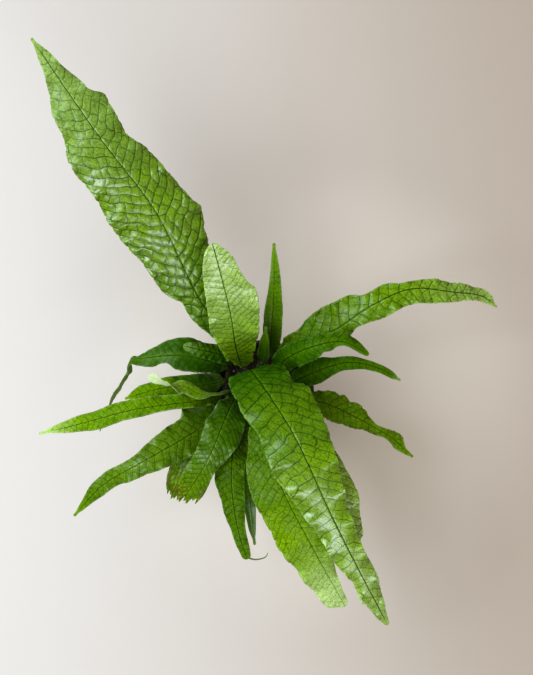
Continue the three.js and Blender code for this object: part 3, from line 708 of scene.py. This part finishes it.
def leaf_finish():
    """Waxy green with dark sunken veins and a finer net between them, from the map's side
    veins at whole numbers and the cross veins counted from the midrib."""
    f = Finish("frond_green")
    net = f.node("UVMap", dict(uv_map="Net"))
    u, v = f.parts("SeparateXYZ", net)[:2]
    pale, brown, under = f.parts("SeparateColor", f.node("VertexColor", dict(layer_name="Tint")))
    tone = f.node("VertexColor", dict(layer_name="Tone"))
    light, gloss, netted = f.parts("SeparateColor", tone)
    rise = Value(f, tone.socket.node.outputs["Alpha"])

    sway = f.parts("SeparateColor", f.noise(260, 2, out=1))
    out = v.size()
    row = u.floor()
    shift = (row * GOLDEN + v.below(0) * MIRROR_SHIFT).fraction()
    stretch = (row * PLASTIC_NUMBER).fraction() * 0.36 + 0.82
    along_vein = u.fraction()
    across = (out * stretch + shift + along_vein * SKEW + (sway[0] - 0.5) * 0.25).fraction()
    side_vein = along_vein.smaller(1 - along_vein) + (sway[1] - 0.5) * 0.05
    cross_vein = across.smaller(1 - across)
    uneven = f.noise(90, 2).ramp(0.35, 0.6) * 0.35 + 0.65
    side_line = 1 - side_vein.ramp(0.018, 0.07)
    cross_line = 1 - cross_vein.ramp(0.012, 0.055)
    middle = 1 - (v + (sway[2] - 0.5) * 0.12).size().ramp(0.03, 0.078)
    fine = f.node("TexVoronoi", dict(feature="DISTANCE_TO_EDGE"), Vector=net, Scale=2.6,
                  Randomness=0.95)
    fine_line = 1 - fine.ramp(0, 0.11)
    veins = side_line.larger(cross_line * 0.9).larger(fine_line * 0.45) * uneven
    veins = veins.larger(middle) * netted
    patches = f.noise(38, 3)
    mottle = f.noise(480, 3, 0.6)
    beside = 1 - out.ramp(0, 0.9)

    deep, fresh, patch = (0.02, 0.075, 0), (0.225, 0.4, 0), (0.03, 0.13, 0)
    field_green_and_painted_light, faded, olive = (0.2, 0.38, 0), (0.4, 0.56, 0.2), (0.3, 0.4, 0.02)
    withered, dead, fleck = (0.13, 0.075, 0.014), (0.07, 0.035, 0.012), (0.012, 0.06, 0)
    # The green runs from deep to fresh by the light tone, which paints shade as well as the frond's own
    # tone.
    body = f.mix(light, deep, fresh)
    body = f.mix(patches.ramp(0.3, 0.7) * 0.3, body, patch)
    # Lighter green in the raised middle of each field, as high as the fields stand, and beside the
    # midrib: partly the fields' own lighter green, partly painted light on the relief.
    pillow = side_vein.ramp(0, 0.5) * cross_vein.ramp(0, 0.5)
    body = f.mix((pillow * rise).larger(beside * 0.5) * 0.35, body, field_green_and_painted_light)
    body = f.mix(pale, body, faded)
    lengthwise = f.node("CombineXYZ", None, u * 0.5, v * 4, 0)
    streaks = f.noise(1.0, 2, where=lengthwise)
    body = f.mix(brown * (1 - streaks.ramp(0.38, 0.46)) * 0.6, body, olive)
    body = f.mix(brown * streaks.ramp(0.52, 0.6), body, withered)
    body = f.mix(brown.ramp(0.75, 1) * 0.7, body, dead)
    body = f.mix((1 - mottle.ramp(0.35, 0.55)) * 0.4, body, fleck)
    lines = f.mix(pale * 0.5, (0.006, 0.028, 0.001), (0.06, 0.14, 0.006))
    top = f.mix(veins * 0.9, body, lines)
    top = f.mix(middle * netted * 0.85, top, (0.008, 0.03, 0.002))
    # The underside's green follows the same light tone, with its painted shade.
    back = f.mix(light, (0.13, 0.23, 0.03), (0.46, 0.55, 0.34))
    back = f.mix(veins * 0.6, back, (0.09, 0.17, 0.05))
    spores = f.node("TexVoronoi", None, Vector=net, Scale=1.6, Randomness=0.9)
    back = f.mix((1 - spores.ramp(0.12, 0.2)) * netted * 0.8, back, (0.16, 0.075, 0.02))
    colour = f.mix(under, top, back)

    groove = side_vein.ramp(0, 0.13) * 0.6 + cross_vein.ramp(0, 0.11) * 0.4
    skin = f.bump(groove * (rise * 0.8 + 0.2) * netted, 0.0009, 0.8)
    skin = f.bump(fine.ramp(0, 0.12) + f.noise(900, 2) * 0.3, 0.00015, 0.5, normal=skin)
    rough = 0.55 + under * 0.15 + patches * 0.1
    shine = gloss * (1 - under) * (1 - veins * 0.7) * (patches.ramp(0.3, 0.6) * 0.6 + 0.4)
    return f.surface(Base_Color=colour, Roughness=rough, Normal=skin, Specular_IOR_Level=0.03,
                     Coat_Weight=shine, Coat_Roughness=0.27, Coat_IOR=1.8)


def pot_finish():
    """Black moulded plastic with fine grain and upright streaks, and dust, most at the rim."""
    f = Finish("pot_black")
    height = f.node("SeparateXYZ", None, f.place(), out=2)
    grain = f.noise(1400, 2)
    clouds = f.noise(22, 4, 0.6)
    specks = f.noise(420, 3, 0.7)
    dust = clouds.ramp(0.45, 0.8) * 0.5 + specks.ramp(0.66, 0.74) * 0.5
    rim_dust = height.ramp(0.075, 0.096) * 0.25
    colour = f.mix(dust * 0.35 + rim_dust * clouds, (0.012, 0.012, 0.013), (0.16, 0.13, 0.1))
    streaks = f.noise(60, 2, where=f.place((1, 1, 0.06)))
    skin = f.bump(grain * 0.5 + streaks * 0.5, 0.0002, 0.5)
    rough = 0.42 + dust * 0.3 + clouds * 0.08
    return f.surface(Base_Color=colour, Roughness=rough, Normal=skin)


def soil_finish():
    """Dark crumbly peat with browner fibres in it."""
    f = Finish("soil_peat")
    lumps = f.noise(180, 6, 0.7)
    fibres = f.noise(700, 4, 0.7)
    colour = f.mix(lumps.ramp(0.35, 0.7), (0.006, 0.005, 0.003), (0.032, 0.022, 0.012))
    colour = f.mix(fibres.ramp(0.6, 0.75) * 0.5, colour, (0.16, 0.1, 0.055))
    skin = f.bump(lumps + fibres * 0.5, 0.0012, 1.0)
    return f.surface(Base_Color=colour, Roughness=0.95, Normal=skin)


def grained_finish(name):
    """Two colours mixed by a noise, which the relief follows unless it has a noise of its own."""
    look = GRAINED[name]
    f = Finish(name)
    grain = f.noise(*look["grain"], where=f.place(look.get("stretch")))
    mask = grain.ramp(*look["limits"]) if "limits" in look else grain
    if "depth" in look:
        relief = f.noise(*look["relief"]) if "relief" in look else grain
        f.surface(Normal=f.bump(relief, look["depth"], look.get("strength", 0.8)))
    return f.surface(Base_Color=f.mix(mask, look["dark"], look["light"]), Roughness=look["rough"])


# ---- the plant and its pot

def trail_thread():
    """The dried thread that the end of frond_12 runs out into: a tapering tube."""
    def radius(s, angle):
        return THREAD_RADIUS * (1 - 0.6 * s) * round_ends(s)

    piece("frond_12_thread", *tube(Curve(THREAD), radius, 8, 40, squash=0.6), "frond",
          grained_finish("dry_thread"))


def grow_fronds():
    """Each frond as one closed mesh, with its net as a map and its tints as point colours."""
    finish = leaf_finish()
    for number, values in enumerate(FRONDS):
        points, faces, net, tint, tone = frond_mesh(Frond(number, values))
        name = "frond_%02d" % (number + 1)
        made = piece(name + "_leaf", points, faces, "frond", finish, net,
                     dict(Tint=tint, Tone=tone))
        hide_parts(name)


def pot_radius(z):
    return BASE_RADIUS + (RIM_RADIUS - RIM_STEP - BASE_RADIUS) * z / POT_HEIGHT


def bore_radius(z):
    return pot_radius(z) - WALL


def arc(r, z, rounding, quarter):
    """A rounded corner of the pot's profile: the quarter circle that ends on the lines at
    radius r and height z. It starts at the given number of right angles."""
    centre_r = r - rounding if quarter < 1 else r + rounding
    centre_z = z + rounding if quarter < 0 else z - rounding
    angle = (quarter + np.linspace(0, 1, 6)) * pi / 2
    return [(centre_r + rounding * cos(a), centre_z + rounding * sin(a)) for a in angle]


def mould_pot():
    """The pot's profile turned once round, with its drainage holes cut out."""
    band = POT_HEIGHT - RIM_BAND
    foot = arc(BASE_RADIUS, 0, FOOT_ROUNDING, -1)
    wall = [(pot_radius(z), z) for z in np.linspace(2, band - 1, 24)]
    step = [(pot_radius(band) + 0.2, band - 0.3), (RIM_RADIUS - 0.9, band)]
    step += [(RIM_RADIUS - 0.25, band + 0.25), (RIM_RADIUS, band + 0.9)]
    lip = arc(RIM_RADIUS, POT_HEIGHT, LIP_ROUNDING, 0)
    fold = arc(bore_radius(POT_HEIGHT), POT_HEIGHT, INNER_ROUNDING, 1)
    inside = [(bore_radius(z), z) for z in np.linspace(POT_HEIGHT - 1.4, FLOOR + 1, 16)]
    profile = ([(0.02, 0), (10, 0), (22, 0), (30, 0), (BASE_RADIUS - 3, 0)] + foot + wall + step
               + lip + fold + inside + [(bore_radius(FLOOR) - 1, FLOOR), (0.02, FLOOR)])
    pot = piece("nursery_pot_shell", *lathe(profile, 144), "pot_plastic", pot_finish())
    cutters = []
    for i in range(DRAIN_COUNT):
        a = (i + 0.5) / DRAIN_COUNT * 2 * pi
        ring, sides = lathe([(DRAIN_RADIUS, -2), (DRAIN_RADIUS, FLOOR + 2)], 32)
        cutters.append((ring + circle(DRAIN_CIRCLE, a, 0), sides))
    cutter = add("cutter", mesh_of("cutter", *join(cutters)))
    cut = pot.modifiers.new("drains", "BOOLEAN")
    cut.object, cut.operation, cut.solver = cutter, "DIFFERENCE", "EXACT"
    whole = pot.evaluated_get(bpy.context.evaluated_depsgraph_get())
    mesh = bpy.data.meshes.new_from_object(whole)
    pot.modifiers.clear()
    pot.data = mesh
    bpy.data.objects.remove(cutter)
    mesh.set_sharp_from_angle(angle=radians(SHARP_EDGE))
    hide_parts("nursery_pot")


def join(parts):
    """Several (points, faces) as one."""
    points, faces, offset = [], [], 0
    for some, sides in parts:
        points.append(some)
        faces += [[i + offset for i in side] for side in sides]
        offset += len(some)
    return np.concatenate(points), faces


def soil_height(x, y):
    """Sums of waves, so that the soil is uneven but the same each time."""
    return SOIL_TOP + 0.9 * sin(x / 5.3 + 0.4 * sin(y / 3.1)) * cos(y / 6.1) \
        + 0.6 * sin(x / 2.3 + y / 3.7) + 0.4 * sin(y / 1.7 - x / 2.9)


def fill_soil():
    """Rings from the middle of the underside, up the pot's wall, and over the uneven top, which
    drops at its rim."""
    sides = 180
    angle = np.arange(sides) / sides * 2 * pi
    rim = bore_radius(SOIL_TOP) - SOIL_GAP
    rings = [circle(r, angle, z)
             for r, z in ((0.05, FLOOR + SOIL_GAP),
                          (bore_radius(FLOOR) - 1.5, FLOOR + SOIL_GAP),
                          (bore_radius(SOIL_TOP - 5) - SOIL_GAP, SOIL_TOP - 5))]
    for r in [*np.linspace(rim, 1.2, 46), 0.05]:
        ring = circle(r, angle, 0)
        ring[:, 2] = soil_height(ring[:, 0], ring[:, 1]) - SOIL_DROP * smooth((r - rim + 3) / 3)
        rings.append(ring)
    soil = piece("soil_fill", np.concatenate(rings), ring_faces(len(rings), sides), "soil",
                 soil_finish())
    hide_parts("soil")


def scatter(random, count, reach):
    """Places on the soil, evenly spread over a disc."""
    r = reach * sqrt(random.random(count))
    a = random.random(count) * 2 * pi
    return r * cos(a), r * sin(a)


def pebble(random, sides, rings, lengths):
    """A lumpy closed body: a sphere of rings scaled to three lengths, each point moved in or
    out a little."""
    lat = np.linspace(0.08, pi - 0.08, rings)
    lon = np.arange(sides) / sides * 2 * pi
    la, lo = np.meshgrid(lat, lon, indexing="ij")
    r = 1 + 0.28 * (random.random(la.shape) - 0.5)
    ball = circle(r * sin(la), lo, -r * cos(la)).reshape(-1, 3)
    return ball * np.array(lengths) / 2, ring_faces(rings, sides)


def turn(points, yaw, tilt):
    """Points tilted about X, then turned about Z."""
    x, y, z = points.T
    y, z = y * cos(tilt) - z * sin(tilt), y * sin(tilt) + z * cos(tilt)
    return np.stack([x * cos(yaw) - y * sin(yaw), x * sin(yaw) + y * cos(yaw), z], -1)


def strew(name, count, lengths, finish, seed):
    """Lumps that lie half sunk over the soil."""
    random = np.random.default_rng(seed)
    parts = []
    xs, ys = scatter(random, count, bore_radius(SOIL_TOP) - 4)
    for x, y in zip(xs, ys):
        size = np.array(lengths) * (0.6 + 0.8 * random.random(3))
        ball, faces = pebble(random, 7, 5, size)
        ball = turn(ball, random.random() * 2 * pi, 0.5 * (random.random() - 0.5))
        parts.append((ball + [x, y, soil_height(x, y) + 0.25 * size[2]], faces))
    piece(name, *join(parts), "soil", finish)


def spikes(roots, ahead, width):
    """Closed pyramids on three corners, one at each root, with their points ahead."""
    aside = unit(np.cross(ahead, [0.3, 0.5, 0.81]))
    above = unit(np.cross(ahead, aside))
    corners = [roots + width * (aside * cos(a) + above * sin(a))
               for a in np.arange(3) * 2 * pi / 3]
    points = np.stack(corners + [roots + ahead], 1).reshape(-1, 3)
    first = 4 * np.arange(len(roots))[:, None]
    faces = [first + face for face in ([2, 1, 0], [0, 1, 3], [1, 2, 3], [2, 0, 3])]
    return points, np.concatenate(faces).tolist()


def settle_moss():
    """Low cushions on the soil, each a lump set with short upright leaves."""
    random = np.random.default_rng(23)
    parts = []
    xs, ys = scatter(random, 16, bore_radius(SOIL_TOP) - 6)
    for x, y in zip(xs, ys):
        reach, height = 3.5 + 3.5 * random.random(), 1.8 + 1.2 * random.random()
        root = np.array([x, y, soil_height(x, y)])
        lump, faces = pebble(random, 12, 7, (2 * reach, 2 * reach, 2 * height))
        parts.append((lump + root, faces))
        count = int(5 * reach * reach)
        share, angle = sqrt(random.random(count)), 2 * pi * random.random(count)
        outward = circle(share, angle, 0)
        top = height * sqrt(1 - 0.95 * share**2) - 0.3
        roots = root + outward * reach + top[:, None] * [0, 0, 1]
        ahead = outward * 1.2 + [0, 0, 1] + 0.5 * (random.random((count, 3)) - 0.5)
        parts.append(spikes(roots, unit(ahead) * (1 + random.random((count, 1))), 0.32))
    piece("moss_cushions", *join(parts), "soil", grained_finish("moss"))


def creep_rhizomes():
    """Knobbly tubes, set with overlapping papery scales and fine hairs."""
    skin, papery = grained_finish("rhizome_skin"), grained_finish("rhizome_scale")
    random = np.random.default_rng(11)
    for number, route in enumerate(RHIZOMES):
        curve = Curve([(x, y, RHIZOME_HEIGHT) for x, y in route])
        phase = 2.0 * number

        def radius(s, angle):
            knobs = 0.93 + 0.06 * sin(s * curve.length / 2.3 + phase + sin(angle))
            return RHIZOME_RADIUS * round_ends(s) * (knobs + 0.03 * sin(3 * angle + 9 * s))

        name = "rhizome_%d" % (number + 1)
        stem = tube(curve, radius, 28, max(40, int(curve.length)))
        made = piece(name + "_stem", *stem, "rhizome", skin)
        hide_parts(name)
        count = int(curve.length * 5)
        s = 0.02 + 0.96 * random.random(count)
        angle = pi * (0.02 + 0.96 * random.random(count))
        centre, ahead = curve.at(s), curve.ahead(s)
        aside = unit(to_side(ahead))
        outward = np.cross(aside, ahead) * sin(angle)[:, None] - aside * cos(angle)[:, None]
        roots = centre + outward * radius(s, angle)[:, None]
        flakes = scale_flakes(random, roots, ahead, outward)
        piece(name + "_scales", *flakes, "rhizome", papery, shade_smooth=False)
        rooted = outward * (RHIZOME_RADIUS * 0.85)
        hair = unit(rooted + 2 * (random.random((count, 3)) - 0.5))
        hairs = spikes(centre + rooted, hair * (2 + 2 * random.random((count, 1))), 0.11)
        piece(name + "_hairs", *hairs, "rhizome", papery, shade_smooth=False)


def scale_flakes(random, roots, ahead, outward):
    """Small pointed flakes that overlap along the rhizome, one at each root: four points on the
    face of each, and the same four a hair's breadth under."""
    long, wide, lift, sway = random.random((len(roots), 4, 1)).transpose(1, 0, 2)
    along_it = ahead * (2.2 + 1.6 * long)
    across = np.cross(ahead, outward) * (0.8 + 0.5 * wide)
    lift = 0.3 + 0.7 * lift
    outline = [(-0.3, 0, 0), (0.2, 0.5, 0.25), (1, 0.6 * (sway - 0.5), 1), (0.2, -0.5, 0.25)]
    face = [roots + along_it * a + across * b + outward * (c * lift + 0.05)
            for a, b, c in outline]
    points = np.stack(face + [corner - outward * 0.12 for corner in face], 1)
    sides = [[3, 2, 1, 0], [4, 5, 6, 7]] + [[i, (i + 1) % 4, (i + 1) % 4 + 4, i + 4]
                                             for i in range(4)]
    faces = 8 * np.arange(len(roots))[:, None, None] + np.array(sides)
    return points.reshape(-1, 3), faces.reshape(-1, 4)


# ---- floor, light and camera

def lay_floor():
    """A pale floor with painted shade, darker and warmer to the right away from the windows, and
    painted light round the plant that lifts its cast shadow."""
    corners = FLOOR_HALF * np.array([(-1, -1, 0), (1, -1, 0), (1, 1, 0), (-1, 1, 0)])
    mesh = mesh_of("floor", corners, [(0, 1, 2, 3)])
    f = Finish("floor_pale")
    across, up = f.parts("SeparateXYZ", f.place())[:2]
    # Painted shade: darker and warmer to the right, where less window light falls.
    colour = f.mix(across.ramp(-0.35, 0.35), (0.54, 0.53, 0.525), (0.405, 0.36, 0.32))
    # Painted light: lighter round the plant, to lift the shadow that the plant casts.
    aside = across - 0.06
    near = 1 - (aside * aside + up * up).ramp(0, 0.08)
    colour = f.mix(near * 0.5, colour, (0.66, 0.62, 0.58))
    mesh.materials.append(f.surface(Base_Color=colour, Roughness=0.9))
    add("floor", mesh)


def area_light(name, place, size, power, colour):
    """A soft square light that faces the middle of the plant. Size in m, power in W."""
    light = bpy.data.lights.new(name, "AREA")
    light.shape, light.size, light.energy, light.color = "SQUARE", size, power, colour
    lamp = add(name, light)
    lamp.location = place
    aim = np.array([0, 0, 0.2]) - np.array(place)
    lamp.rotation_euler = (np.arctan2(np.hypot(aim[0], aim[1]), -aim[2]), 0,
                           np.arctan2(aim[1], aim[0]) - pi / 2)


def light_studio():
    """Three cool windows, and a warm dim glow all round."""
    daylight = (0.86, 0.94, 1)
    area_light("window", (0.9, -2.6, 2.3), 1.6, 43, daylight)
    area_light("skylight", (-0.6, -0.1, 1.5), 0.8, 15, daylight)
    area_light("side_window", (-2.3, 1.2, 1.4), 2.8, 72, (0.82, 0.9, 1))
    world = bpy.data.worlds.new("studio")
    world.use_nodes = True
    sky = world.node_tree.nodes["Background"]
    sky.inputs["Color"].default_value = (1.0, 0.8, 0.56, 1)
    sky.inputs["Strength"].default_value = 0.41
    bpy.context.scene.world = world
    bpy.context.scene.view_settings.view_transform = "Standard"
    bpy.context.scene.view_settings.look = "Medium High Contrast"


def set_camera():
    """Looks down on the plant, leaning 4 degrees from straight down. The long side of the
    533 by 675 picture is upright."""
    camera = bpy.data.cameras.new("camera")
    camera.sensor_width = 36
    camera.lens = 50.08
    camera.clip_end = 50
    holder = add("camera", camera)
    holder.location = (0.0045, -0.0113, 1.045)
    holder.rotation_euler = (radians(4), 0, 0)
    bpy.context.scene.camera = holder


set_camera()
lay_floor()
light_studio()
mould_pot()
fill_soil()
strew("bark_chips", 240, (5.5, 3.2, 1.8), grained_finish("bark_chip"), 3)
strew("perlite_grains", 36, (2.4, 2.0, 1.8), grained_finish("perlite_white"), 5)
settle_moss()
creep_rhizomes()
grow_fronds()
trail_thread()
